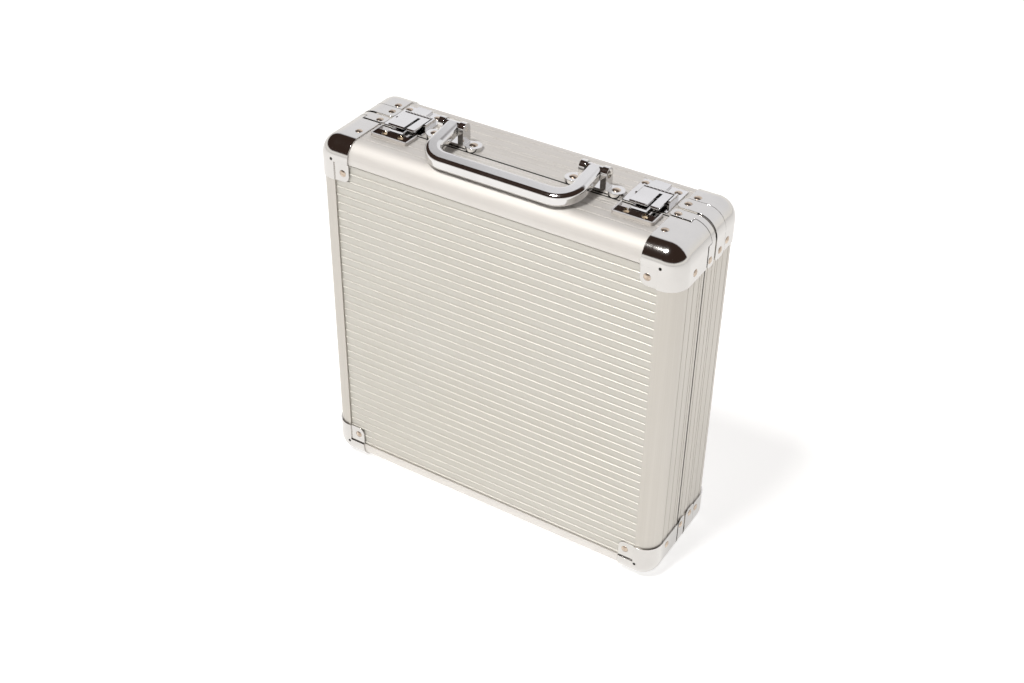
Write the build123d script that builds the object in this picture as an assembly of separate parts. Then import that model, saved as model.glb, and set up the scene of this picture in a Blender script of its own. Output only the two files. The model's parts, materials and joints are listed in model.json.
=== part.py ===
from build123d import *
import os

# Aluminium poker chip case, standing closed on its hinge side.
# X is the width, Y runs from the lid (front) to the base (rear), Z is up. Millimetres.
# The origin is under the middle of the closed case.

# --- overall sizes -----------------------------------------------------------------
case_width = 275.0
case_height = 273.0
shell_depth = 37.2           # depth of the lid, and of the base extrusion
rim_depth = 11.2             # strip of the base that carries handle and latches
parting_gap = 1.6            # open line between lid and rim

# --- sheet and extrusion sizes -----------------------------------------------------
corner_radius = 14.5         # corner seen from the front
edge_radius = 13.7           # rounded edge between front face and sides
cap_sheet = 1.0              # sheet of caps, brackets and hinge leaves
seat = 0.05                  # clearance of each riveted sheet over what it covers
past = 1.0                   # cuts run this far past the face they open
wall = 1.6                   # wall of an extrusion
lip_width = 14.3             # lip over the panel, from the outside of the extrusion
lip_thick = 1.2
flange_thick = 1.2           # inner flange that clamps the panel from behind
panel_grip = 2.6             # how far the panel reaches under the lip
panel_clear = 0.1            # play of the panel between lip and flange
groove_width = 1.2
groove_deep = 0.2
frame_grooves = (14.0, 22.0, 29.5, 32.5)   # from the face of the extrusion
rim_grooves = (3.0, 9.8)                   # from the front of the rim

# --- panels ------------------------------------------------------------------------
skin_thick = 0.8
board_thick = 3.0
rib_pitch = 6.3
rib_width = 1.3
rib_high = 0.45
rib_groove = 0.15            # fold above each rib
rib_end = 0.3                # ribs stop this far from the lip

# --- corner caps and brackets ------------------------------------------------------
cap_reach_x = 27.5
cap_reach_z = 29.5
cap_end_radius = 5.0
cap_joggle = 0.9             # step from the cap down to its ear on the panel
cap_hole_radius = 1.1
cap_hole_place = 14.0        # small tooling hole, from both outer sides
cap_bracket_gap = 0.3        # between a base cap and its base bracket
lobe_reach = 13.0            # tongue of the upper lid caps around the corner
lobe_long = 5.0
lobe_clear = 0.5
rim_bracket_long = 8.7
rim_bracket_back = 0.1       # from the front of the rim to the bracket
bracket_gap = 2.3            # open slot between rim bracket and base bracket
base_bracket_long = 12.4
bracket_reach_x = 29.5
bracket_reach_z = 31.0
bracket_end_radius = 3.0
backing_clear = 0.6          # between the rim bracket and the backing ring inside it

# --- rivets ------------------------------------------------------------------------
rivet_head_radius = 2.6
rivet_head_high = 0.9
rivet_shank_radius = 1.5
rivet_tail = 0.6             # formed end beyond the last sheet
rivet_clear = 0.05
cap_rivet_in_x = 4.9         # cap rivets, from the two ends of the cap
cap_rivet_in_z = 6.3
cap_rivet_y = 21.0           # and from the face of its shell
bracket_rivet_in_x = 5.1     # bracket rivets, from the two ends of the bracket
bracket_rivet_in_z = 5.5
rim_rivet_y = 3.4            # behind the front of the rim
base_bracket_rivet_y = 6.4   # behind the front of the base extrusion

# --- rim tongue --------------------------------------------------------------------
tongue_long = 5.0
tongue_thick = 1.2
tongue_clear = 0.5

# --- hinge -------------------------------------------------------------------------
hinge_radius = 2.5
hinge_pin_radius = 1.1
hinge_pin_clear = 0.05
hinge_leaf_width = 15.0
hinge_setback = 3.4          # everything below the axis stays this far from the parting
hinge_headroom = 0.3
hinge_end_clear = 2.0
knuckle_count = 15
knuckle_gap = 0.4
hinge_rivet_count = 7
hinge_rivet_radius = 2.0

# --- handle ------------------------------------------------------------------------
handle_width = 118.0
handle_reach = 39.5          # pin to the front of the bar, along the arm
handle_slope = 10.0          # the folded handle slopes down to the front, degrees
handle_arm_width = 11.0
handle_bar_width = 11.5
handle_arm_thick = 7.0
handle_bar_thick = 9.5
handle_corner = 19.0
handle_inner_corner = 8.0
handle_edge = 3.0
handle_pin_radius = 1.8
handle_pin_head_radius = 3.0
handle_pin_head = 1.6
handle_pin_clear = 0.06
handle_pivot_high = 12.9     # above the rim
handle_pivot_y = 4.9         # behind the front of the rim
handle_side_clear = 0.4

# --- handle mounts -----------------------------------------------------------------
foot_radius = 5.8
foot_spacing = 31.0          # between the two rivets of a mount
foot_thick = 3.0
foot_edge = 0.8
ear_thick = 4.2
ear_radius = 4.4
mount_rivet_radius = 2.9
mount_rivet_high = 1.1

# --- latches -----------------------------------------------------------------------
latch_x = 91.6
strike_width = 29.6
latch_sheet = 1.0
strike_front = 21.4          # from the front of the lid
strike_long = 13.6
strike_wall_high = 2.4
strike_wall = 1.2
strike_slope_end = 8.0       # the floor of the strike rises up to here, from its front
strike_slope_low = 0.4
strike_slope_high = 2.3
strike_lip_y = 10.6          # catch lip, from the front of the strike
strike_lip_high = 0.6
strike_rivet_x = 6.5
strike_rivet_y = 5.8
strike_rivet_radius = 2.2
strike_rivet_high = 0.5
latch_base_left = 16.0       # edges of the base plate, from the middle of the latch
latch_base_right = 15.0
latch_base_start = 0.4       # behind the front of the rim
latch_base_long = 30.8
latch_rail_start = 7.2
latch_rail_end = 20.2
latch_rail_high = 4.6
latch_rail = 1.3
latch_pin_y = 17.0           # behind the front of the rim
latch_pin_high = 3.4
latch_pin_radius = 1.0
latch_pin_clear = 0.06
latch_knuckle_radius = 2.1
latch_pad_high = 2.4
latch_pad_left = 8.6         # raised pad behind the lever, from the middle of the latch
latch_pad_right = 3.0
latch_rivet_left = 13.2
latch_rivet_right = 10.2
latch_rivet_y = 26.4
lever_left = 9.0             # edges of the lever, from the middle of the latch
lever_right = 11.5
lever_overhang = 4.2         # of the lever over the lid
lever_under = 3.7            # underside of the lever over the frame
lever_thick = 1.3
lever_side_clear = 0.5
lever_slit = 2.2
lever_slit_x = 3.4           # slit, from the middle of the latch
lever_slit_stop = 4.0
lever_notch = 0.8            # notches across the lever's knuckle
lever_notch_pitch = 2.6
lever_notch_count = 8
claw_width = 11.0
claw_thick = 0.9
claw_over_lip = 0.3
claw_hook_y = 2.0            # the claw ends this far in front of the catch lip
claw_pin_ahead = 8.0         # claw pin, in front of the lever pin
claw_pin_radius = 0.6
claw_pin_clear = 0.05
claw_eye_radius = 1.1
claw_lug = 1.2
claw_lug_width = 2.0
claw_lug_clear = 0.25

# --- inside ------------------------------------------------------------------------
chip_radius = 20.0
chip_thick = 3.3
chips_in_row = 50
chip_clear = 0.5
row_slack = 3.0
row_count = 6
row_pitch = 42.5
row_floor = 3.5
tray_side_clear = 0.4        # from the tails of the rivets
tray_back_clear = 0.3
well_wall = 8.0
well_wall_top = 15.7         # solid stretch above the wells
card_well_width = 93.0
card_well_deep = 19.0
dice_well_width = 34.0
foam_thick = 24.0
foam_side_clear = 0.4
foam_back_clear = 0.3

# --- worked out --------------------------------------------------------------------
case_depth = 2 * shell_depth + rim_depth + parting_gap
front = -case_depth / 2
lid_end = front + shell_depth
rim_front = lid_end + parting_gap
base_front = rim_front + rim_depth
rear = front + case_depth
parting = lid_end + parting_gap / 2
middle_y = (front + rear) / 2
frame_inset = cap_sheet + seat
inner_inset = frame_inset + wall
frame_top = case_height - frame_inset
side_x = case_width / 2
skin_front = frame_inset + lip_thick + panel_clear
board_front = skin_front + skin_thick
board_back = board_front + board_thick
flange_front = board_back + panel_clear
flange_back = flange_front + flange_thick
panel_inset = frame_inset + lip_width - panel_grip
mid_height = Plane.XY.offset(case_height / 2)
mid_depth = Plane.XZ.offset(-middle_y)
corner_space = max(frame_inset + lip_width, corner_radius)   # free of straight extrusions
hinge_axis_z = hinge_radius
barrel_top = 2 * hinge_radius + hinge_headroom
corner_top = hinge_axis_z + hinge_headroom
cap_rivet_x = cap_reach_x - cap_rivet_in_x
cap_rivet_z = cap_reach_z - cap_rivet_in_z
bracket_rivet_x = bracket_reach_x - bracket_rivet_in_x
bracket_rivet_z = bracket_reach_z - bracket_rivet_in_z
rivet_grip = cap_sheet + seat + wall + rivet_tail
mount_grip = foot_thick + wall + rivet_tail
frame_deep = shell_depth - frame_inset
lip_edge = frame_inset + lip_width + rib_end
rim_bracket_front = rim_front + rim_bracket_back
base_bracket_front = rim_bracket_front + rim_bracket_long + bracket_gap
base_cap_front = base_bracket_front + base_bracket_long + cap_bracket_gap
hinge_half = side_x - cap_reach_x - hinge_end_clear
pivot_y = rim_front + handle_pivot_y
pivot_z = frame_top + handle_pivot_high
arm_x = (handle_width - handle_arm_width) / 2
eye_half = handle_arm_width / 2
latch_axis_y = rim_front + latch_pin_y
latch_axis_z = frame_top + latch_pin_high
strike_y = front + strike_front
lever_low = frame_top + lever_under
lever_front = rim_front - lever_overhang
rail_left = lever_left + lever_side_clear + latch_rail
rail_right = lever_right + lever_side_clear + latch_rail
lip_top = frame_top + latch_sheet + strike_lip_high
claw_low = lip_top + claw_over_lip
claw_axis_y = latch_axis_y - claw_pin_ahead
claw_axis_z = claw_low + claw_thick / 2
tray_back = rear - flange_back - tray_back_clear
tray_front = tray_back - row_floor - chip_radius - chip_clear
inside_edge = edge_radius / 2      # tray and pad are rounded where the extrusions curve in
tray_inset = inner_inset + rivet_tail + tray_side_clear
foam_inset = inner_inset + rivet_tail + foam_side_clear
row_length = chips_in_row * chip_thick + row_slack
row_low = tray_inset + well_wall
well_low = row_low + row_length + well_wall
card_well_long = case_height - tray_inset - well_wall_top - well_low
card_x = dice_well_width / 2 + well_wall + card_well_width / 2
corners = {"top_left": (-1, 1), "top_right": (1, 1), "bottom_left": (-1, -1), "bottom_right": (1, -1)}
sides = {"left": -1, "right": 1}
parts = {}


# --- shared shapes -----------------------------------------------------------------
def block(x0, x1, y0, y1, z0, z1):
    """Plain block between two corners."""
    centre = Pos((x0 + x1) / 2, (y0 + y1) / 2, (z0 + z1) / 2)
    return centre * Box(x1 - x0, y1 - y0, z1 - z0)


def prism(inset, y0, y1):
    """The case's rounded outline, shrunk by inset, between two depths."""
    body = block(-side_x + inset, side_x - inset, y0, y1, inset, case_height - inset)
    return fillet(body.edges().filter_by(Axis.Y), corner_radius - inset)


def shell_block(inset, end):
    """Outer shape of the lid, shrunk by inset, with its rounded front edge."""
    body = prism(inset, front + inset, end)
    return fillet(body.faces().sort_by(Axis.Y)[0].edges(), edge_radius - inset)


def ring(outer, inner, y0, y1):
    """Band that follows the case's outline between two insets and two depths."""
    return prism(outer, y0, y1) - prism(inner, y0 - past, y1 + past)


def corner_block(reach_x, reach_z, y0, y1, end_radius=0):
    """Block over the upper right corner, its inward edge rounded."""
    body = block(side_x - reach_x, side_x + past, y0, y1, case_height - reach_z, case_height + past)
    if end_radius:
        inward = body.edges().filter_by(Axis.Y).sort_by_distance((0, (y0 + y1) / 2, 0))[0]
        body = fillet(inward, end_radius)
    return body


def at_corner(shape, side, level):
    """The upper right shape, moved to another corner by mirroring."""
    if side < 0:
        shape = mirror(shape, about=Plane.YZ)
    if level < 0:
        shape = mirror(shape, about=mid_height)
    return shape


def to_base(shape):
    """A lid shape, mirrored to the base."""
    return mirror(shape, about=mid_depth)


def rod(radius, x0, x1, y, z):
    """Cylinder along X."""
    return Pos((x0 + x1) / 2, y, z) * Rot(0, 90, 0) * Cylinder(radius, x1 - x0)


def only(shape):
    """The single solid of a result."""
    return shape.solids().sort_by(SortBy.VOLUME)[-1]


# --- rivets ------------------------------------------------------------------------
def rivet(place, head_radius, head_high, shank_radius, grip):
    """Dome-headed rivet whose head sits on place and whose shank runs to -Z of it."""
    sphere_radius = (head_radius ** 2 + head_high ** 2) / (2 * head_high)
    dome = Pos(0, 0, head_high - sphere_radius) * Sphere(sphere_radius)
    dome = dome & Pos(0, 0, head_high / 2) * Cylinder(head_radius + past, head_high)
    shank = Pos(0, 0, -grip / 2) * Cylinder(shank_radius, grip)
    return place * only(dome + shank)


def flush_rivet(place, radius):
    """Countersunk rivet whose flat end lies in the sheet's face."""
    return place * Pos(0, 0, -rivet_grip / 2) * Cylinder(radius, rivet_grip)


def drilled(shape, places, radius, deep):
    """The shape with a rivet hole at each place that lies on it."""
    box = shape.bounding_box()
    for place in places:
        at = place.position
        near_x = box.min.X - deep < at.X < box.max.X + deep
        near_y = box.min.Y - deep < at.Y < box.max.Y + deep
        near_z = box.min.Z - deep < at.Z < box.max.Z + deep
        if near_x and near_y and near_z:
            shape = shape - place * Cylinder(radius, 2 * deep)
    return only(shape)


def facing(x, y, z, turn):
    """Place whose +Z looks out of the case: turn is about X and Y, in degrees."""
    return Pos(x, y, z) * Rot(*turn)


up = (0, 0, 0)
down = (180, 0, 0)
to_front = (90, 0, 0)
to_rear = (-90, 0, 0)
to_side = {1: (0, 90, 0), -1: (0, -90, 0)}


def edge_rivet_places(from_side, from_end, y):
    """Rivets near all corners at one depth, on top, on both sides and below."""
    top, bottom, beside = [], [], []
    for side in (-1, 1):
        x = side * (side_x - from_side)
        top.append(facing(x, y, case_height, up))
        bottom.append(facing(x, y, 0, down))
        for z in (from_end, case_height - from_end):
            beside.append(facing(side * side_x, y, z, to_side[side]))
    return top, bottom, beside


def face_rivet_places(y, turn):
    """Rivets of the four cap ears on the front or rear face."""
    places = []
    for side in (-1, 1):
        for z in (cap_rivet_z, case_height - cap_rivet_z):
            places.append(facing(side * (side_x - cap_rivet_x), y, z, turn))
    return places


def rivet_set(groups):
    """Rivets on top, sides and faces, with flush ones under the case."""
    made = []
    for places, flush in groups:
        for place in places:
            if flush:
                made.append(flush_rivet(place, rivet_shank_radius))
            else:
                made.append(rivet(place, rivet_head_radius, rivet_head_high, rivet_shank_radius, rivet_grip))
    return Compound(made)


lid_cap_edge = edge_rivet_places(cap_rivet_x, cap_rivet_z, front + cap_rivet_y)
base_cap_edge = edge_rivet_places(cap_rivet_x, cap_rivet_z, rear - cap_rivet_y)
rim_edge = edge_rivet_places(bracket_rivet_x, bracket_rivet_z, rim_front + rim_rivet_y)
base_edge = edge_rivet_places(bracket_rivet_x, bracket_rivet_z, base_front + base_bracket_rivet_y)
lid_face = face_rivet_places(front + cap_joggle, to_front)
base_face = face_rivet_places(rear - cap_joggle, to_rear)


def all_places(edge):
    """Every rivet of an edge set, in one list."""
    return edge[0] + edge[1] + edge[2]


def riveted(shape, places, grip=rivet_grip):
    """The shape with holes for the common rivet."""
    return drilled(shape, places, rivet_shank_radius + rivet_clear, grip + rivet_tail)


# --- panels ------------------------------------------------------------------------
def panel_plate(y0, thick):
    """Plate that fills the space behind the lips."""
    half = side_x - panel_inset
    return block(-half, half, y0, y0 + thick, panel_inset, case_height - panel_inset)


def ribbed_skin():
    """Skin of the lid with level ribs, each with a fold above it."""
    face_y = front + skin_front
    window = side_x - frame_inset - lip_width - rib_end
    bottom = frame_inset + lip_width + rib_end
    count = int((case_height - 2 * bottom - rib_width) / rib_pitch)
    start = case_height / 2 - count * rib_pitch / 2
    ribs = Sketch()
    folds = Sketch()
    for index in range(count + 1):
        z = start + index * rib_pitch
        foot = rib_width / 2
        crest = rib_width / 4
        ribs += Polygon((face_y + rib_groove, z - foot), (face_y, z - foot), (face_y - rib_high, z - crest),
                        (face_y - rib_high, z + crest), (face_y, z + foot), (face_y + rib_groove, z + foot),
                        align=None)
        folds += Polygon((face_y, z + foot), (face_y + rib_groove, z + 2 * foot), (face_y, z + 3 * foot),
                         align=None)
    skin = panel_plate(face_y, skin_thick)
    skin -= extrude(Plane.YZ * folds, window, both=True)
    skin += extrude(Plane.YZ * ribs, window, both=True)
    return riveted(skin, lid_face)


def make_panels():
    """Skins and boards of both shells."""
    lid_skin = ribbed_skin()
    lid_board = riveted(panel_plate(front + board_front, board_thick), lid_face)
    parts["lid_skin"] = lid_skin
    parts["lid_board"] = lid_board
    parts["base_skin"] = to_base(lid_skin)
    parts["base_board"] = to_base(lid_board)


# --- edge extrusions ---------------------------------------------------------------
def frame_section():
    """Section of a shell's edge: its face at local X 0, its outside at local Y 0."""
    outer = Pos(frame_deep / 2, -lip_width / 2) * Rectangle(frame_deep, lip_width)
    outer = fillet(outer.vertices().sort_by_distance((0, 0, 0))[0], edge_radius - frame_inset)
    hollow = Pos(lip_thick + frame_deep / 2, -wall - lip_width / 2) * Rectangle(frame_deep, lip_width)
    hollow = fillet(hollow.vertices().sort_by_distance((0, 0, 0))[0], edge_radius - frame_inset - wall)
    flange_x = flange_front - frame_inset + flange_thick / 2
    flange_y = -(wall + lip_width) / 2
    flange = Pos(flange_x, flange_y) * Rectangle(flange_thick, lip_width - wall + seat)
    return outer - hollow + (flange & outer) - grooves(frame_grooves)


def grooves(places):
    """Shallow decorative grooves across an extrusion's outside, at these depths."""
    cuts = Sketch()
    for place in places:
        cuts += Pos(place, 0) * Rectangle(groove_width, 2 * groove_deep)
    return cuts


def bar(section, length):
    """Extrusion along X with its outside up at Z 0, from a section in depth and height."""
    return extrude(Plane.YZ * section, length / 2, both=True)


def around_case(shape, name):
    """A bar's place on the top, bottom, left or right of the case."""
    turn = {"top": 0, "right": 90, "bottom": 180, "left": -90}[name]
    centre = {"top": (0, case_height), "right": (side_x, case_height / 2),
              "bottom": (0, 0), "left": (-side_x, case_height / 2)}[name]
    return Pos(centre[0], 0, centre[1]) * Rot(0, turn, 0) * shape


def side_length(name):
    """Length of a straight extrusion between the spaces at the corners."""
    overall = case_width if name in ("top", "bottom") else case_height
    return overall - 2 * (corner_space + seat)


def hinge_cut(top):
    """Room around the hinge axis, through the whole width, up to a height."""
    return block(-side_x - past, side_x + past, parting - hinge_setback, parting + hinge_setback,
                 -past, top)


def make_frames():
    """The eight edge extrusions and the four rim strips."""
    lid_places = all_places(lid_cap_edge) + strike_rivet_places(-1) + strike_rivet_places(1)
    base_places = all_places(base_cap_edge) + all_places(base_edge)
    mount_places = mount_rivet_places(-1) + mount_rivet_places(1)
    base_places += latch_rivet_places(-1) + latch_rivet_places(1)
    for name in ("top", "bottom", "left", "right"):
        length = side_length(name)
        frame = Pos(0, front + frame_inset, -frame_inset) * bar(frame_section(), length)
        frame = around_case(frame, name)
        rim = around_case(Pos(0, rim_front, -frame_inset) * bar(rim_section(name), length), name)
        lid_frame = riveted(frame - hinge_cut(barrel_top), lid_places)
        base_frame = riveted(to_base(frame), base_places)
        if name == "bottom":
            lid_frame = hinge_drilled(lid_frame)
            base_frame = hinge_drilled(base_frame)
        parts["lid_frame_" + name] = lid_frame
        parts["base_frame_" + name] = base_frame
        rim = riveted(rim - hinge_cut(barrel_top), all_places(rim_edge))
        rim = riveted(rim, mount_places, mount_grip)
        parts["base_rim_" + name] = hinge_drilled(rim) if name == "bottom" else rim


def hinge_drilled(shape):
    """The shape with holes for the hinge rivets."""
    places = hinge_rivet_places(0) + hinge_rivet_places(1)
    return drilled(shape, places, hinge_rivet_radius + rivet_clear, rivet_grip + rivet_tail)


def rim_section(name):
    """Section of the rim strip, with its tongue into the lid except beside the hinge."""
    strip_high = wall + tongue_clear + tongue_thick
    strip = Pos(rim_depth / 2, -strip_high / 2) * Rectangle(rim_depth, strip_high)
    if name != "bottom":
        tongue_y = -(strip_high - tongue_thick / 2)
        root = tongue_thick
        strip += Pos((root - tongue_long) / 2, tongue_y) * Rectangle(tongue_long + root, tongue_thick)
    return strip - grooves(rim_grooves)


# --- corner caps and brackets ------------------------------------------------------
def lid_cap(side, level):
    """Pressed cap over a lid corner, with its ear on the panel."""
    end = lid_end
    sheet = shell_block(0, end) - shell_block(cap_sheet, end + past)
    cap = sheet & corner_block(cap_reach_x, cap_reach_z, front - past, end, cap_end_radius)
    window = block(-side_x + lip_edge, side_x - lip_edge, front - past, front + cap_joggle,
                   lip_edge, case_height - lip_edge)
    cap = cap - window
    ear_back = front + skin_front - rib_high - seat
    ear = corner_block(cap_reach_x, cap_reach_z, front + cap_joggle, ear_back, cap_end_radius)
    ear &= block(0, side_x - lip_edge, front, lid_end, 0, case_height - lip_edge)
    cap = cap + ear
    if level > 0:
        lobe = ring(0, cap_sheet, end - past, end + lobe_long)
        cap = cap + (lobe & corner_block(lobe_reach, lobe_reach, end - past, end + lobe_long))
    hole_x = side_x - cap_hole_place
    hole_z = case_height - cap_hole_place
    cap = cap - facing(hole_x, front, hole_z, to_front) * Cylinder(cap_hole_radius, 4 * cap_sheet)
    cap = at_corner(only(cap), side, level)
    return cap if level > 0 else cap - hinge_cut(corner_top)


def base_cap(side, level):
    """Pressed cap over a base corner, shorter than the lid's."""
    sheet = to_base(shell_block(0, lid_end) - shell_block(cap_sheet, lid_end + past))
    cap = sheet & corner_block(cap_reach_x, cap_reach_z, base_cap_front, rear + past, cap_end_radius)
    window = block(-side_x + lip_edge, side_x - lip_edge, rear - cap_joggle, rear + past,
                   lip_edge, case_height - lip_edge)
    cap = cap - window
    ear_back = rear - (skin_front - rib_high - seat)
    ear = corner_block(cap_reach_x, cap_reach_z, ear_back, rear - cap_joggle, cap_end_radius)
    ear &= block(0, side_x - lip_edge, rim_front, rear, 0, case_height - lip_edge)
    cap = cap + ear
    hole_x = side_x - cap_hole_place
    hole_z = case_height - cap_hole_place
    cap = cap - facing(hole_x, rear, hole_z, to_rear) * Cylinder(cap_hole_radius, 4 * cap_sheet)
    return at_corner(only(cap), side, level)


def rim_bracket(side, level):
    """Strap around a rim corner; the upper ones leave room for the lobe of the lid cap."""
    start = rim_bracket_front
    end = start + rim_bracket_long
    strap = ring(0, cap_sheet, start, end)
    strap &= corner_block(bracket_reach_x, bracket_reach_z, start, end)
    if level > 0:
        reach = lobe_reach + lobe_clear
        strap = strap - corner_block(reach, reach, start - past, lid_end + lobe_long + lobe_clear)
    strap = at_corner(only(rounded_tab_ends(strap)), side, level)
    return strap if level > 0 else strap - hinge_cut(corner_top)


def rounded_tab_ends(strap):
    """Round the free corners of a strap's two tabs."""
    top_end = strap.faces().sort_by(Axis.X)[0]
    low_end = strap.faces().sort_by(Axis.Z)[0]
    short = [edge for face in (top_end, low_end) for edge in face.edges() if edge.length < 2 * cap_sheet]
    return fillet(short, bracket_end_radius)


def base_bracket(side, level):
    """Strap around a base corner, with a backing ring that closes the slot to the rim bracket."""
    start = base_bracket_front
    end = start + base_bracket_long
    strap = ring(0, cap_sheet, start, end) & corner_block(bracket_reach_x, bracket_reach_z, start, end)
    strap = rounded_tab_ends(strap)
    behind = cap_sheet + backing_clear
    backing_start = lid_end + lobe_long - bracket_gap / 2
    backing = ring(behind, behind + cap_sheet, backing_start, start + cap_sheet)
    backing += ring(cap_sheet / 2, behind + cap_sheet, start, start + cap_sheet)
    reach = corner_radius - seat
    strap = strap + (backing & corner_block(reach, reach, rim_front, end))
    return at_corner(only(strap), side, level)


def make_corners():
    """Caps and brackets at all four corners."""
    for name, (side, level) in corners.items():
        parts["lid_cap_" + name] = riveted(lid_cap(side, level), all_places(lid_cap_edge) + lid_face)
        parts["base_cap_" + name] = riveted(base_cap(side, level), all_places(base_cap_edge) + base_face)
        parts["rim_bracket_" + name] = riveted(rim_bracket(side, level), all_places(rim_edge))
        parts["base_bracket_" + name] = riveted(base_bracket(side, level), all_places(base_edge))


def make_rivets():
    """Rivets of caps and brackets, one node for each shell."""
    parts["lid_rivets"] = rivet_set([(lid_cap_edge[0] + lid_cap_edge[2] + lid_face, False),
                                     (lid_cap_edge[1], True)])
    base_groups = [(base_face, False)]
    for edge in (base_cap_edge, base_edge, rim_edge):
        base_groups += [(edge[0] + edge[2], False), (edge[1], True)]
    parts["base_rivets"] = rivet_set(base_groups)


# --- hinge -------------------------------------------------------------------------
def hinge_leaf(parity):
    """Leaf of the lid (parity 1) or of the base (parity 0), with its share of the knuckles."""
    pitch = (2 * hinge_half + knuckle_gap) / knuckle_count
    edge = parting - hinge_setback
    leaf = block(-hinge_half, hinge_half, parting - hinge_leaf_width, edge, 0, cap_sheet)
    for index in range(parity, knuckle_count, 2):
        x0 = -hinge_half + index * pitch
        x1 = x0 + pitch - knuckle_gap
        leaf += rod(hinge_radius, x0, x1, parting, hinge_axis_z)
        leaf += block(x0, x1, edge - cap_sheet, parting, 0, cap_sheet)
    leaf -= rod(hinge_pin_radius + hinge_pin_clear, -side_x, side_x, parting, hinge_axis_z)
    if parity == 0:
        leaf = mirror(leaf, about=Plane.XZ.offset(-parting))
    return drilled(leaf, hinge_rivet_places(parity), hinge_rivet_radius + rivet_clear, 2 * cap_sheet)


def hinge_rivet_places(parity):
    """Flush rivets along a leaf."""
    pitch = 2 * hinge_half / hinge_rivet_count
    away = (hinge_leaf_width + hinge_setback) / 2
    y = parting - away if parity else parting + away
    return [facing(-hinge_half + (index + 0.5) * pitch, y, 0, down) for index in range(hinge_rivet_count)]


def make_hinge():
    """Full-length hinge under the case."""
    for parity, shell in ((1, "lid"), (0, "base")):
        parts["hinge_leaf_" + shell] = hinge_leaf(parity)
        rivets = [flush_rivet(place, hinge_rivet_radius) for place in hinge_rivet_places(parity)]
        parts["hinge_rivets_" + shell] = Compound(rivets)
    parts["hinge_pin"] = rod(hinge_pin_radius, -hinge_half, hinge_half, parting, hinge_axis_z)


# --- handle ------------------------------------------------------------------------
def handle_shape():
    """Cast U, lying forward: a thick bar in front and two flatter arms that slope down to it."""
    top = pivot_z + handle_arm_thick / 2
    low = top - handle_bar_thick
    half = handle_width / 2
    bar_front = pivot_y - handle_reach
    body = block(-half, half, bar_front, pivot_y, low, top)
    body = fillet(body.edges().filter_by(Axis.Z).sort_by(Axis.Y)[:2], handle_corner)
    inner = half - handle_arm_width
    gap = block(-inner, inner, bar_front + handle_bar_width, pivot_y + past, low - past, top + past)
    body -= fillet(gap.edges().filter_by(Axis.Z).sort_by(Axis.Y)[:2], handle_inner_corner)
    rims = [edge for edge in body.faces().filter_by(Axis.Z).edges() if edge.center().Y < pivot_y - past]
    body = fillet(rims, handle_edge)
    arm_low = pivot_z - handle_arm_thick / 2
    body -= block(-half, half, bar_front + handle_corner, pivot_y + past, low - past, arm_low)
    for side in (-1, 1):
        body += rod(handle_arm_thick / 2, side * arm_x - eye_half, side * arm_x + eye_half, pivot_y, pivot_z)
    body = only(body - rod(handle_pin_radius + handle_pin_clear, -side_x, side_x, pivot_y, pivot_z))
    return Pos(0, pivot_y, pivot_z) * Rot(handle_slope, 0, 0) * Pos(0, -pivot_y, -pivot_z) * body


def mount_rivet_places(side):
    """The two rivets of a handle mount."""
    return [facing(side * arm_x + end * foot_spacing / 2, pivot_y, frame_top + foot_thick, up)
            for end in (-1, 1)]


def handle_mount(side):
    """Cast mount: two round feet, a bridge, and two ears for the pin."""
    x = side * arm_x
    base = frame_top + seat
    top = frame_top + foot_thick
    ear_in = eye_half + handle_side_clear
    foot_x = foot_spacing / 2
    mount = block(x - foot_x, x + foot_x, pivot_y - ear_radius, pivot_y + ear_radius, base, top)
    for end in (-1, 1):
        mount += Pos(x + end * foot_x, pivot_y, (base + top) / 2) * Cylinder(foot_radius, top - base)
        ear_x = sorted((x + end * ear_in, x + end * (ear_in + ear_thick)))
        mount += rod(ear_radius, ear_x[0], ear_x[1], pivot_y, pivot_z)
        mount += block(ear_x[0], ear_x[1], pivot_y - ear_radius, pivot_y + ear_radius, base, pivot_z)
    mount -= rod(handle_pin_radius + seat, x - foot_spacing, x + foot_spacing, pivot_y, pivot_z)
    return riveted(mount, mount_rivet_places(side))


def handle_pin(side):
    """Pin through the ears and the handle's eye, with a dome head on its outer end."""
    x = side * arm_x
    reach = eye_half + handle_side_clear + ear_thick
    pin = rod(handle_pin_radius, x - reach, x + reach, pivot_y, pivot_z)
    outer = facing(x + side * reach, pivot_y, pivot_z, to_side[side])
    return only(pin + rivet(outer, handle_pin_head_radius, handle_pin_head, handle_pin_radius, reach))


def make_handle():
    """Handle, mounts, pins and the mounts' rivets."""
    parts["handle"] = handle_shape()
    rivets = []
    for name, side in sides.items():
        parts["handle_mount_" + name] = handle_mount(side)
        rivets += [rivet(place, mount_rivet_radius, mount_rivet_high, rivet_shank_radius, mount_grip)
                   for place in mount_rivet_places(side)]
    parts["handle_pins"] = Compound([handle_pin(side) for side in (-1, 1)])
    parts["handle_rivets"] = Compound(rivets)


# --- latches -----------------------------------------------------------------------
def strike_rivet_places(side):
    """Two low rivets inside the strike."""
    return [facing(side * latch_x + end * strike_rivet_x, strike_y + strike_rivet_y,
                   frame_top + latch_sheet, up) for end in (-1, 1)]


def latch_rivet_places(side):
    """Two dome rivets behind the latch."""
    return [facing(side * latch_x + place, rim_front + latch_rivet_y, frame_top + latch_sheet, up)
            for place in (-latch_rivet_left, latch_rivet_right)]


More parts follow.
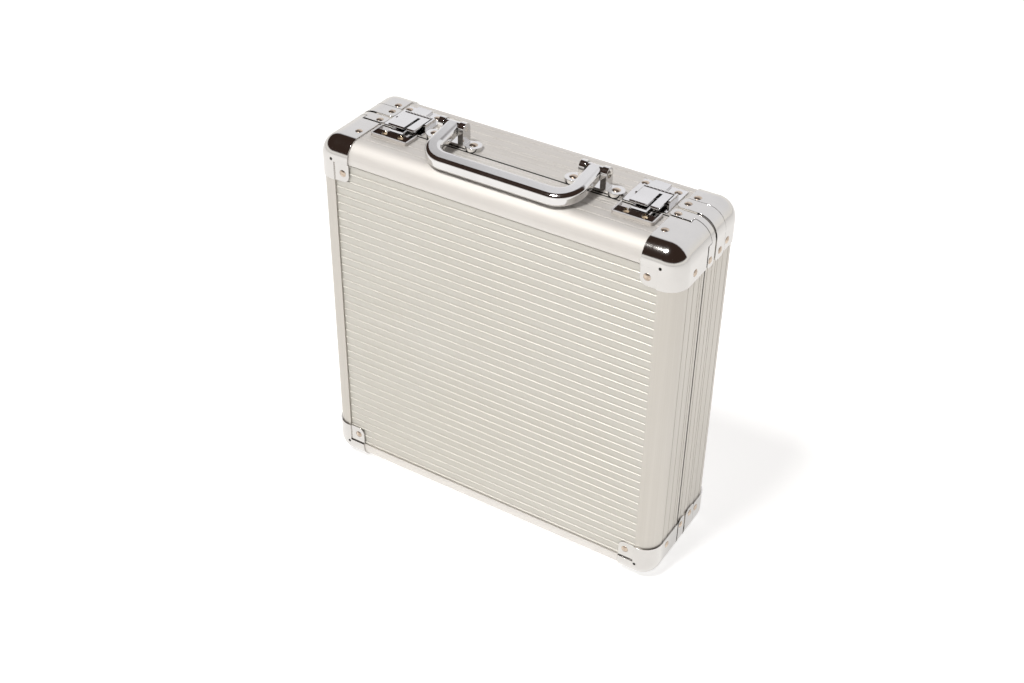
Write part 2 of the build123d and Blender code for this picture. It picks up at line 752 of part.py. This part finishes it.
def strike(side):
    """Tray-shaped catch on the lid, open to the rear, with a sloping floor and a low catch lip."""
    x = side * latch_x
    half = strike_width / 2
    base = frame_top + seat
    top = frame_top + strike_wall_high
    end = strike_y + strike_long
    tray = block(x - half, x + half, strike_y, end, base, top)
    tray = fillet(tray.edges().filter_by(Axis.Z).sort_by(Axis.Y)[:2], 2 * strike_wall)
    tray -= block(x - half + strike_wall, x + half - strike_wall, strike_y + strike_wall, end + past,
                  frame_top + latch_sheet, top + past)
    slope_start = strike_y + strike_wall / 2
    slope_end = strike_y + strike_slope_end
    slope = Polygon((slope_start, base), (slope_end, base), (slope_end, frame_top + strike_slope_high),
                    (slope_start, frame_top + strike_slope_low), align=None)
    inner = half - strike_wall / 2
    tray += extrude(Plane.YZ.offset(x - inner) * slope, amount=2 * inner)
    recess = Pos(0, 0, strike_wall_high) * Cylinder(strike_rivet_radius + seat, 2 * strike_wall_high)
    for place in strike_rivet_places(side):
        tray -= place * recess
    lip_y = strike_y + strike_lip_y
    tray += block(x - claw_width / 2, x + claw_width / 2, lip_y, lip_y + latch_sheet, base, lip_top)
    return riveted(tray, strike_rivet_places(side))


def latch_base(side):
    """Base plate with two side rails for the lever pin and a raised rear pad."""
    x = side * latch_x
    start = rim_front + latch_base_start
    end = start + latch_base_long
    base = frame_top + seat
    plate = block(x - latch_base_left, x + latch_base_right, start, end, base, frame_top + latch_sheet)
    for rail_x in (x - rail_left, x + rail_right - latch_rail):
        side_rail = block(rail_x, rail_x + latch_rail, rim_front + latch_rail_start,
                          rim_front + latch_rail_end, base, frame_top + latch_rail_high)
        plate += fillet(side_rail.edges().filter_by(Axis.X).group_by(Axis.Z)[-1], latch_rail)
    pad_start = latch_axis_y + latch_knuckle_radius + lever_side_clear
    plate += block(x - latch_pad_left, x + latch_pad_right, pad_start, end, base,
                   frame_top + latch_pad_high)
    plate -= rod(latch_pin_radius + seat, x - side_x, x + side_x, latch_axis_y, latch_axis_z)
    return riveted(plate, latch_rivet_places(side))


def lever(side):
    """Lever: a leaf and a narrow strip with a slit between them, and lugs for the claw underneath."""
    x = side * latch_x
    top = lever_low + lever_thick
    leaf = block(x - lever_left, x + lever_right, lever_front, latch_axis_y, lever_low, top)
    nose = leaf.edges().filter_by(Axis.X).group_by(Axis.Z)[-1].sort_by(Axis.Y)[0]
    leaf = fillet(nose, lever_thick - seat)
    slit_x = x + lever_slit_x
    slit_end = latch_axis_y - lever_slit_stop
    leaf -= block(slit_x, slit_x + lever_slit, lever_front - past, slit_end, lever_low - past, top + past)
    leaf += rod(latch_knuckle_radius, x - lever_left, x + lever_right, latch_axis_y, latch_axis_z)
    notch_floor = latch_axis_z + latch_pin_radius + latch_sheet / 2
    for index in range(lever_notch_count):
        notch = x - lever_left + (index + 0.5) * lever_notch_pitch - lever_notch / 2
        leaf -= block(notch, notch + lever_notch, latch_axis_y - latch_pin_radius,
                      latch_axis_y + lever_slit_stop, notch_floor, top + past)
    for end in (-1, 1):
        lug_x = sorted((x + end * (claw_width / 2 + claw_lug_clear),
                        x + end * (claw_width / 2 + claw_lug_clear + claw_lug_width)))
        leaf += block(lug_x[0], lug_x[1], claw_axis_y - claw_lug, claw_axis_y + claw_lug,
                      claw_axis_z - claw_lug, lever_low + lever_thick / 2)
    leaf -= rod(latch_pin_radius + latch_pin_clear, x - side_x, x + side_x, latch_axis_y, latch_axis_z)
    leaf -= rod(claw_pin_radius + claw_pin_clear, x - lever_left - past, x + lever_right + past,
                claw_axis_y, claw_axis_z)
    return only(leaf)


def claw(side):
    """Flat claw that reaches over the catch lip of the strike."""
    x = side * latch_x
    half = claw_width / 2
    tip = strike_y + strike_lip_y - claw_hook_y
    plate = block(x - half, x + half, tip, claw_axis_y, claw_low, claw_low + claw_thick)
    plate += rod(claw_eye_radius, x - half, x + half, claw_axis_y, claw_axis_z)
    plate -= rod(claw_pin_radius + claw_pin_clear, x - half - past, x + half + past,
                 claw_axis_y, claw_axis_z)
    return only(plate)


def make_latches():
    """Both latches, with their pins and rivets."""
    base_rivets, strike_rivets, pins = [], [], []
    claw_half = claw_width / 2 + claw_lug_clear + claw_lug_width
    for name, side in sides.items():
        x = side * latch_x
        parts["strike_" + name] = strike(side)
        parts["latch_base_" + name] = latch_base(side)
        parts["latch_lever_" + name] = lever(side)
        parts["latch_claw_" + name] = claw(side)
        claw_pin = rod(claw_pin_radius, x - claw_half, x + claw_half, claw_axis_y, claw_axis_z)
        parts["claw_pin_" + name] = claw_pin
        pins.append(rod(latch_pin_radius, x - rail_left, x + rail_right, latch_axis_y, latch_axis_z))
        grip = latch_sheet + wall + rivet_tail
        base_rivets += [rivet(place, rivet_head_radius, rivet_head_high, rivet_shank_radius, grip)
                        for place in latch_rivet_places(side)]
        strike_rivets += [rivet(place, strike_rivet_radius, strike_rivet_high, rivet_shank_radius, grip)
                          for place in strike_rivet_places(side)]
    parts["latch_pins"] = Compound(pins)
    parts["latch_rivets"] = Compound(base_rivets)
    parts["strike_rivets"] = Compound(strike_rivets)


# --- inside ------------------------------------------------------------------------
def chip_tray():
    """Moulded insert: level half-round rows for chips below, card and dice wells above."""
    tray = block(-side_x + tray_inset, side_x - tray_inset, tray_front, tray_back,
                 tray_inset, case_height - tray_inset)
    tray = fillet(tray.edges().filter_by(Axis.Y), corner_radius - tray_inset)
    tray = fillet(tray.faces().sort_by(Axis.Y)[-1].edges(), inside_edge)
    for index in range(row_count):
        x = (index - (row_count - 1) / 2) * row_pitch
        row = Pos(x, tray_front, row_low + row_length / 2) * Cylinder(chip_radius + chip_clear, row_length)
        tray -= row
    for x, width in ((-card_x, card_well_width), (card_x, card_well_width), (0, dice_well_width)):
        well = block(x - width / 2, x + width / 2, tray_front - past, tray_front + card_well_deep,
                     well_low, well_low + card_well_long)
        tray -= fillet(well.edges().filter_by(Axis.Y), row_floor)
    return only(tray)


def make_inside():
    """Chip tray in the base, foam pad in the lid."""
    parts["chip_tray"] = chip_tray()
    start = front + flange_back + foam_back_clear
    foam = block(-side_x + foam_inset, side_x - foam_inset, start, start + foam_thick,
                 foam_inset, case_height - foam_inset)
    foam = fillet(foam.edges().filter_by(Axis.Y), corner_radius - foam_inset)
    parts["lid_foam"] = fillet(foam.faces().sort_by(Axis.Y)[0].edges(), inside_edge)


# --- the whole case ----------------------------------------------------------------
make_panels()
make_frames()
make_corners()
make_rivets()
make_hinge()
make_handle()
make_latches()
make_inside()

os.makedirs("parts", exist_ok=True)
for name, shape in parts.items():
    export_step(shape, "parts/" + name + ".step")
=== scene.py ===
import bmesh
import bpy
import json
import math
from mathutils import Matrix, Vector


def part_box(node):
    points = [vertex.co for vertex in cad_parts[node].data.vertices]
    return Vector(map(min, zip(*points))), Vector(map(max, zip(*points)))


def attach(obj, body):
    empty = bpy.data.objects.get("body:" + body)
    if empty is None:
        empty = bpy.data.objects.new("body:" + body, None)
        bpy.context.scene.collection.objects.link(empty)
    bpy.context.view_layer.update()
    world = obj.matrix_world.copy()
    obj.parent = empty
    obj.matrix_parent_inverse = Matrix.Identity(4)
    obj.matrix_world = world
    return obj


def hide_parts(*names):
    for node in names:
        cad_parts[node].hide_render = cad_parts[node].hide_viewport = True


# Closed aluminium poker chip case on a white table top. Metres.

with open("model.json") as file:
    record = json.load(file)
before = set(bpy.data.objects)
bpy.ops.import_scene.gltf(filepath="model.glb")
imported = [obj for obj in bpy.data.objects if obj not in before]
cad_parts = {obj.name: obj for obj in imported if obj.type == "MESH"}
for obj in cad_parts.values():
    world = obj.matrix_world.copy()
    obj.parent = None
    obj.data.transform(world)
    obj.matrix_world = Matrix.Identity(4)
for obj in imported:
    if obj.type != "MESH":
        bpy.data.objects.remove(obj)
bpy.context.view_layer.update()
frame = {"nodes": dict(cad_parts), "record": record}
nodes = frame["nodes"]
MM = 0.001

# --- convoluted foam pad -------------------------------------------------------------
foam_pitch = 27.0 * MM         # from crest to crest
foam_crest = 12.0 * MM         # height of the crests
foam_border = 7.0 * MM         # soft border around the pad
foam_border_drop = 5.0 * MM    # how far the border falls away in front
foam_back_drop = 3.0 * MM      # and behind
foam_corner = 11.0 * MM
foam_step = 3.4 * MM           # spacing of the grid
foam_front_play = 0.4 * MM     # stays inside the space of the pad
foam_back_play = 0.3 * MM
foam_sag = 0.35 * MM
foam_sag_waves = (41.0, 37.0)  # radians per metre, across and up
foam_sag_shift = 1.3

# --- black strip in the open line between lid and rim, as painted shade in the gap ----
shade_strip_start, shade_strip_end = 0.12, 0.92    # share of the gap that it fills
shade_strip_outer = 0.1 * MM                # below the face of the rim
shade_strip_inner = 1.5 * MM
shade_strip_lean = 0.15 * MM                # its rear edge lies deeper
shade_strip_corner = 13.4 * MM
shade_strip_low = 24.0 * MM                 # it ends this far above the table
shade_strip_steps = 12

# --- floor, camera --------------------------------------------------------------------
floor_half = 14.0
floor_cells = 24
case_width = 0.275
camera_turn, camera_rise, camera_roll = 0.547, 0.6289, 0.0174    # radians
camera_distance = 3.6759 * case_width
camera_target = (0.12 * case_width, 0.5 * case_width)            # behind the caps, and up
camera_slide = (0.0022 * case_width, -0.0028 * case_width)       # right and up
camera_lens = 50.91


# --- node helpers --------------------------------------------------------------------
class Shader:
    """Small wrapper round a Principled material and its node tree."""

    def __init__(self, name):
        self.material = bpy.data.materials.new(name)
        self.material.use_nodes = True
        self.tree = self.material.node_tree
        self.surface = self.tree.nodes["Principled BSDF"]
        self.space = self.add("ShaderNodeTexCoord").outputs["Object"]
        self.normal = None

    def add(self, kind, **values):
        """New node; a value goes to the property of that name, or else to the input."""
        node = self.tree.nodes.new(kind)
        for key, value in values.items():
            if hasattr(node, key):
                setattr(node, key, value)
            else:
                node.inputs[key.replace("_", " ")].default_value = value
        return node

    def link(self, source, target):
        self.tree.links.new(source, target)

    def stretched(self, scale):
        """Object coordinates scaled along each axis."""
        mapping = self.add("ShaderNodeMapping", Scale=scale)
        self.link(self.space, mapping.inputs["Vector"])
        return mapping.outputs["Vector"]

    def noise(self, scale, detail=4.0, roughness=0.55, vector=None, distortion=0.0):
        node = self.add("ShaderNodeTexNoise", Scale=scale, Detail=detail, Roughness=roughness,
                        Distortion=distortion)
        self.link(vector or self.space, node.inputs["Vector"])
        return node.outputs["Fac"]

    def cells(self, scale):
        node = self.add("ShaderNodeTexVoronoi", Scale=scale)
        self.link(self.space, node.inputs["Vector"])
        return node.outputs["Distance"]

    def remap(self, source, low, high, start=0.3, end=0.7):
        """The source's span from start to end, spread from low to high."""
        node = self.add("ShaderNodeMapRange")
        self.link(source, node.inputs["Value"])
        for key, value in (("From Min", start), ("From Max", end), ("To Min", low), ("To Max", high)):
            node.inputs[key].default_value = value
        return node.outputs["Result"]

    def colours(self, source, first, last):
        """Colour ramp between two (place, colour) stops."""
        node = self.add("ShaderNodeValToRGB")
        self.link(source, node.inputs["Fac"])
        for element, (place, colour) in zip(node.color_ramp.elements, (first, last)):
            element.position = place
            element.color = (*colour, 1.0)
        return node.outputs["Color"]

    def times(self, first, second):
        """Product of two colours."""
        node = self.add("ShaderNodeMix", data_type="RGBA", blend_type="MULTIPLY")
        node.inputs["Factor"].default_value = 1.0
        self.link(first, node.inputs[6])
        self.link(second, node.inputs[7])
        return node.outputs[2]

    def combine(self, first, second, mode="ADD"):
        node = self.add("ShaderNodeMath", operation=mode)
        self.link(first, node.inputs[0])
        self.link(second, node.inputs[1])
        return node.outputs[0]

    def rounded(self, radius):
        """Softened edges, as a folded or cast edge has."""
        node = self.add("ShaderNodeBevel", samples=4)
        node.inputs["Radius"].default_value = radius
        self.normal = node.outputs["Normal"]

    def bump(self, height, strength, distance):
        node = self.add("ShaderNodeBump")
        node.inputs["Strength"].default_value = strength
        node.inputs["Distance"].default_value = distance
        self.link(height, node.inputs["Height"])
        if self.normal is not None:
            self.link(self.normal, node.inputs["Normal"])
        self.normal = node.outputs["Normal"]

    def done(self, colour, roughness, **constants):
        """Connects what was made, sets the constants, and returns the material."""
        self.link(colour, self.surface.inputs["Base Color"])
        self.link(roughness, self.surface.inputs["Roughness"])
        if self.normal is not None:
            self.link(self.normal, self.surface.inputs["Normal"])
        for key, value in constants.items():
            self.surface.inputs[key.replace("_", " ")].default_value = value
        return self.material


# --- materials -----------------------------------------------------------------------
def satin_aluminium(name, streak, light, dark, rough):
    """Anodised aluminium with fine die or brush streaks along one axis, and faint stains."""
    s = Shader(name)
    s.rounded(0.25 * MM)
    along = s.stretched(streak)
    lines = s.noise(1.0, 5.0, 0.62, along)
    broad = s.noise(0.12, 3.0, 0.5, along)
    cloud = s.noise(14.0, 3.0)
    tone = s.colours(s.combine(lines, broad, "MULTIPLY"), (0.12, dark), (0.36, light))
    stain = s.colours(cloud, (0.35, (0.965, 0.96, 0.95)), (0.65, (1.0, 1.0, 1.0)))
    s.bump(lines, 0.10, 0.012 * MM)
    s.bump(s.noise(2600.0, 2.0), 0.08, 0.01 * MM)
    rough_map = s.remap(s.combine(lines, cloud), rough - 0.04, rough + 0.06, 0.6, 1.4)
    return s.done(s.times(tone, stain), rough_map, Metallic=1.0)


def chrome(name, colour, peel, rough=0.05, edge=0.35 * MM):
    """Polished chrome: faint waviness, hairline wipe marks and a little haze."""
    s = Shader(name)
    s.rounded(edge)
    haze = s.noise(45.0, 4.0, 0.6)
    wipe = s.noise(1.0, 3.0, 0.6, s.stretched((1400.0, 240.0, 500.0)), 0.6)
    tone = s.colours(haze, (0.3, tuple(0.93 * c for c in colour)), (0.7, colour))
    s.bump(s.noise(130.0, 2.0), peel, 0.12 * MM)
    s.bump(wipe, 0.03, 0.01 * MM)
    rough_map = s.remap(s.combine(haze, wipe), rough, rough + 0.09, 0.7, 1.35)
    return s.done(tone, rough_map, Metallic=1.0)


def plated(name, light, dark, rough):
    """Small plated parts: tarnish in blotches, with tiny pits."""
    s = Shader(name)
    s.rounded(0.2 * MM)
    blotch = s.noise(420.0, 4.0, 0.6)
    tone = s.colours(blotch, (0.3, dark), (0.62, light))
    s.bump(s.noise(1800.0, 3.0), 0.12, 0.04 * MM)
    return s.done(tone, s.remap(blotch, rough + 0.12, rough), Metallic=1.0)


def flock(name):
    """Black flocked plastic: short fibres that catch light at grazing angles."""
    s = Shader(name)
    fibre = s.noise(2400.0, 3.0, 0.7)
    nap = s.noise(28.0, 4.0, 0.6)
    tone = s.colours(s.combine(fibre, nap, "MULTIPLY"),
                     (0.08, (0.006, 0.006, 0.007)), (0.45, (0.034, 0.033, 0.036)))
    s.bump(fibre, 0.6, 0.25 * MM)
    return s.done(tone, s.remap(nap, 0.8, 0.97), Sheen_Weight=0.35, Sheen_Roughness=0.45,
                  Sheen_Tint=(0.5, 0.5, 0.55, 1.0), Specular_IOR_Level=0.2)


def shade_strip_black(name):
    """Dull black with a fine moulded skin, for the strip that paints the shade in the gap between lid and
    rim.
    """
    s = Shader(name)
    skin = s.noise(900.0, 3.0)
    tone = s.colours(skin, (0.3, (0.004, 0.004, 0.004)), (0.7, (0.012, 0.011, 0.011)))
    s.bump(skin, 0.2, 0.05 * MM)
    return s.done(tone, s.remap(skin, 0.6, 0.75), Specular_IOR_Level=0.15)


def foam(name):
    """Open-cell charcoal foam."""
    s = Shader(name)
    pores = s.cells(780.0)
    fine = s.noise(1500.0, 3.0, 0.7)
    patch = s.noise(22.0, 3.0)
    tone = s.colours(s.combine(pores, patch, "MULTIPLY"),
                     (0.02, (0.016, 0.016, 0.018)), (0.36, (0.085, 0.085, 0.09)))
    s.bump(pores, 0.7, 0.5 * MM)
    s.bump(fine, 0.3, 0.15 * MM)
    return s.done(tone, s.remap(fine, 0.86, 0.99), Specular_IOR_Level=0.15)


def board(name):
    """Raw fibreboard."""
    s = Shader(name)
    fibre = s.noise(1.0, 6.0, 0.65, s.stretched((260.0, 260.0, 900.0)), 0.8)
    tone = s.colours(fibre, (0.3, (0.22, 0.14, 0.08)), (0.7, (0.42, 0.31, 0.20)))
    s.bump(fibre, 0.4, 0.12 * MM)
    return s.done(tone, s.remap(fibre, 0.75, 0.95))


finishes = {
    "panel": satin_aluminium("ribbed_panel", (9.0, 2600.0, 2600.0),
                             (0.61, 0.595, 0.555), (0.585, 0.57, 0.525), 0.58),
    # one aluminium for all extrusions: the level ones get a lighter colour as painted light on the tops, the
    # upright ones a darker, warmer colour as painted shade on the sides
    "level": satin_aluminium("extrusion_level_painted_light", (7.0, 1500.0, 1500.0),
                             (0.77, 0.75, 0.725), (0.725, 0.705, 0.68), 0.70),
    "upright": satin_aluminium("extrusion_upright_painted_shade", (1500.0, 1500.0, 7.0),
                               (0.575, 0.55, 0.51), (0.53, 0.505, 0.465), 0.46),
    "chrome_sheet": chrome("chrome_sheet", (0.60, 0.585, 0.565), 0.05),
    "chrome_cast": chrome("chrome_cast", (0.67, 0.66, 0.65), 0.09, 0.04),
    "chrome_latch": chrome("chrome_latch", (0.67, 0.66, 0.655), 0.05, 0.035, 0.15 * MM),
    # darker copy of the latch chrome for the strikes: a painted dark reflection, the plating is the same as
    # on the latches
    "chrome_strike": chrome("chrome_strike", (0.52, 0.50, 0.485), 0.07, 0.03, 0.15 * MM),
    "rivet_nickel": plated("rivet_nickel", (0.60, 0.51, 0.42), (0.36, 0.28, 0.22), 0.20),
    "rivet_brass": plated("rivet_brass", (0.76, 0.60, 0.40), (0.40, 0.28, 0.17), 0.22),
    "hinge_steel": plated("hinge_steel", (0.74, 0.74, 0.73), (0.52, 0.53, 0.55), 0.30),
    "pin_steel": plated("pin_steel", (0.72, 0.69, 0.64), (0.45, 0.42, 0.38), 0.24),
    "tray_flock": flock("tray_flock"),
    "foam": foam("convoluted_foam"),
    # black for the strip of painted shade in the gap between lid and rim
    "shade_strip_black": shade_strip_black("painted_gap_shade"),
    "board": board("fibreboard"),
}


def finish_of(node, slot_name):
    """The finish of a CAD node: extrusions are streaked along their length, the level ones with a lighter
    colour as painted light and the upright ones with a darker, warmer colour as painted shade; strikes get a
    darker chrome as a painted dark reflection.
    """
    if node.startswith("strike_") and slot_name == "chrome_latch":
        return finishes["chrome_strike"]
    if slot_name == "ribbed_aluminium":
        return finishes["panel"]
    if slot_name == "satin_aluminium":
        return finishes["level" if node.endswith(("top", "bottom")) else "upright"]
    return finishes[slot_name]


for part in frame["record"]["subparts"]:
    mesh = nodes[part["node"]].data
    mesh.materials.clear()
    mesh.materials.append(finish_of(part["node"], part["material_slot"]))


# --- mesh helper ---------------------------------------------------------------------
def piece_from(bm, name, material):
    """Object in the scene from a finished bmesh."""
    mesh = bpy.data.meshes.new(name)
    bm.to_mesh(mesh)
    bm.free()
    mesh.materials.append(material)
    piece = bpy.data.objects.new(name, mesh)
    bpy.context.scene.collection.objects.link(piece)
    return piece


# --- convoluted foam pad in the lid --------------------------------------------------
def foam_pad():
    """Egg-crate foam with a flat back towards the lid, rounded corners and a soft border."""
    low, high = (Vector(corner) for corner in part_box("lid_foam"))
    wide, tall = high.x - low.x, high.z - low.z
    columns, rows = round(wide / foam_step), round(tall / foam_step)
    bm = bmesh.new()

    def inside_corner(x, z):
        """Pulls a point of the square grid inside the rounded corners."""
        dx = abs(x) - (wide / 2 - foam_corner)
        dz = abs(z) - (tall / 2 - foam_corner)
        if dx > 0 and dz > 0:
            scale = max(dx, dz) / math.hypot(dx, dz)
            x = math.copysign(wide / 2 - foam_corner + dx * scale, x)
            z = math.copysign(tall / 2 - foam_corner + dz * scale, z)
        return x, z

    def place(i, j, front):
        """Point of the front or back layer at column i and row j."""
        x = (i / columns - 0.5) * wide
        z = (j / rows - 0.5) * tall
        edge = max(0.0, min(wide / 2 - abs(x), tall / 2 - abs(z)))
        pull = (1 - min(edge / foam_border, 1.0)) ** 2
        if front:
            turn = 2 * math.pi / foam_pitch
            dip = 0.5 - 0.5 * math.cos(turn * x) * math.cos(turn * z)
            ripple = math.sin(foam_sag_waves[0] * x + foam_sag_shift) * math.sin(foam_sag_waves[1] * z)
            y = high.y - foam_front_play - foam_crest * dip - pull * foam_border_drop
            y += foam_sag * ripple
        else:
            y = low.y + foam_back_play + pull * foam_back_drop
        x, z = inside_corner(x, z)
        return Vector((x, y, (low.z + high.z) / 2 + z))

    layers = [[[bm.verts.new(place(i, j, front)) for j in range(rows + 1)] for i in range(columns + 1)]
              for front in (True, False)]
    for layer in layers:
        for i in range(columns):
            for j in range(rows):
                bm.faces.new([layer[i][j], layer[i][j + 1], layer[i + 1][j + 1], layer[i + 1][j]])
    rim = ([(i, 0) for i in range(columns)] + [(columns, j) for j in range(rows)]
           + [(i, rows) for i in range(columns, 0, -1)] + [(0, j) for j in range(rows, 0, -1)])
    for (a, b), (c, d) in zip(rim, rim[1:] + rim[:1]):
        bm.faces.new([layers[0][a][b], layers[0][c][d], layers[1][c][d], layers[1][a][b]])
    bmesh.ops.recalc_face_normals(bm, faces=bm.faces)
    for face in bm.faces:
        face.smooth = True
    pad = piece_from(bm, "lid_foam_pad", finishes["foam"])
    smooth = pad.modifiers.new("soften", "SUBSURF")
    smooth.levels = smooth.render_levels = 1
    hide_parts("lid_foam")
    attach(pad, "lid")


foam_pad()


# --- black strip in the open line between lid and rim, as painted shade in the gap ----
def shade_strip_path():
    """Across points of the outline from the right side over the top to the left side."""
    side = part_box("base_rim_right")[1][0]
    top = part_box("base_rim_top")[1][2]
    path = [(side, shade_strip_low)]
    for index in range(shade_strip_steps + 1):
        angle = math.radians(90 * index / shade_strip_steps)
        path.append((side - shade_strip_corner + shade_strip_corner * math.cos(angle),
                     top - shade_strip_corner + shade_strip_corner * math.sin(angle)))
    return path + [(-x, z) for x, z in reversed(path)]


def shade_strip():
    """Black strip on the front of the rim that paints the shade in the gap, round both sides and the top;
    the hinge fills the bottom.
    """
    gap_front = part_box("lid_frame_right")[1][1]
    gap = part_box("rim_bracket_top_right")[0][1] - gap_front
    start, end = gap_front + shade_strip_start * gap, gap_front + shade_strip_end * gap
    section = ((shade_strip_outer, start), (shade_strip_outer + shade_strip_lean, end), (shade_strip_inner, end), (shade_strip_inner, start))
    path = shade_strip_path()
    bm = bmesh.new()
    rings = []
    for index, (x, z) in enumerate(path):
        before = Vector(path[max(index - 1, 0)])
        after = Vector(path[min(index + 1, len(path) - 1)])
        run = (after - before).normalized()
        inward = Vector((-run.y, run.x))
        rings.append([bm.verts.new((x + inward.x * depth, y, z + inward.y * depth)) for depth, y in section])
    for first, second in zip(rings, rings[1:]):
        for index in range(len(section)):
            other = (index + 1) % len(section)
            bm.faces.new((first[index], first[other], second[other], second[index]))
    bm.faces.new(rings[0])
    bm.faces.new(rings[-1][::-1])
    bmesh.ops.recalc_face_normals(bm, faces=bm.faces)
    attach(piece_from(bm, "rim_shade_strip", finishes["shade_strip_black"]), "base")


shade_strip()


# --- floor ---------------------------------------------------------------------------
def floor_paper():
    """Matt white paper, lit softly from behind."""
    s = Shader("floor_paper")
    grain = s.noise(700.0, 3.0)
    tone = s.colours(grain, (0.3, (0.595, 0.595, 0.595)), (0.7, (0.615, 0.615, 0.615)))
    s.bump(grain, 0.04, 0.05 * MM)
    return s.done(tone, s.remap(grain, 0.85, 0.95), Specular_IOR_Level=0.1,
                  Emission_Color=(1.0, 0.995, 0.985, 1.0), Emission_Strength=0.71)


def floor():
    """Seamless white table top."""
    bm = bmesh.new()
    bmesh.ops.create_grid(bm, x_segments=floor_cells, y_segments=floor_cells, size=floor_half)
    piece_from(bm, "floor", floor_paper())


floor()


# --- surroundings --------------------------------------------------------------------
def surroundings():
    """White room with a warm horizon and a dark band high up in front."""
    world = bpy.data.worlds.new("studio")
    bpy.context.scene.world = world
    world.use_nodes = True
    tree = world.node_tree
    add, link = tree.nodes.new, tree.links.new
    back = tree.nodes["Background"]
    split = add("ShaderNodeSeparateXYZ")
    link(add("ShaderNodeTexCoord").outputs["Generated"], split.inputs["Vector"])
    height = add("ShaderNodeValToRGB")
    link(split.outputs["Z"], height.inputs["Fac"])
    for element, place, colour in zip(height.color_ramp.elements, (0.0, 0.45),
                                      ((1.0, 0.975, 0.93, 1.0), (0.97, 0.97, 1.0, 1.0))):
        element.position = place
        element.color = colour
    edges = []
    for socket, start, end in (("Z", 0.12, 0.21), ("Y", 0.56, 0.44)):
        edge = add("ShaderNodeMapRange")
        edge.interpolation_type = "SMOOTHSTEP"
        link(split.outputs[socket], edge.inputs["Value"])
        edge.inputs["From Min"].default_value = start
        edge.inputs["From Max"].default_value = end
        edges.append(edge.outputs["Result"])
    band = add("ShaderNodeMath")
    band.operation = "MULTIPLY"
    link(edges[0], band.inputs[0])
    link(edges[1], band.inputs[1])
    mix = add("ShaderNodeMix")
    mix.data_type = "RGBA"
    link(band.outputs[0], mix.inputs["Factor"])
    link(height.outputs["Color"], mix.inputs[6])
    mix.inputs[7].default_value = (0.045, 0.028, 0.022, 1.0)
    link(mix.outputs[2], back.inputs["Color"])
    back.inputs["Strength"].default_value = 1.15


surroundings()


def area_light(name, place, target, size, power, colour):
    """Soft round light aimed at a point."""
    lamp = bpy.data.lights.new(name, "AREA")
    lamp.shape = "DISK"
    lamp.size = size
    lamp.energy = power
    lamp.color = colour
    light = bpy.data.objects.new(name, lamp)
    light.location = place
    light.rotation_euler = (Vector(target) - Vector(place)).to_track_quat("-Z", "Y").to_euler()
    bpy.context.scene.collection.objects.link(light)


area_light("lamp", (-0.42, -1.30, 2.8), (0.0, 0.0, 0.1), 0.7, 80.0, (1.0, 0.99, 0.97))


# --- camera --------------------------------------------------------------------------
def camera():
    """View from the upper right of the lid."""
    level, steep = math.cos(camera_rise), math.sin(camera_rise)
    back = Vector((math.sin(camera_turn) * level, -math.cos(camera_turn) * level, steep))
    right = Vector((math.cos(camera_turn), math.sin(camera_turn), 0.0))
    up = back.cross(right)
    rolled_right = math.cos(camera_roll) * right + math.sin(camera_roll) * up
    rolled_up = -math.sin(camera_roll) * right + math.cos(camera_roll) * up
    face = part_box("lid_cap_top_right")[0][1]
    target = Vector((0.0, face + camera_target[0], camera_target[1]))
    place = target + camera_slide[0] * rolled_right + camera_slide[1] * rolled_up + camera_distance * back
    data = bpy.data.cameras.new("camera")
    data.lens = camera_lens
    data.sensor_width = 36.0
    data.clip_start, data.clip_end = 0.05, 60.0
    view = bpy.data.objects.new("camera", data)
    turned = Matrix((rolled_right, rolled_up, back)).transposed().to_4x4()
    view.matrix_world = Matrix.Translation(place) @ turned
    bpy.context.scene.collection.objects.link(view)
    bpy.context.scene.camera = view


camera()
bpy.context.scene.view_settings.view_transform = "Standard"
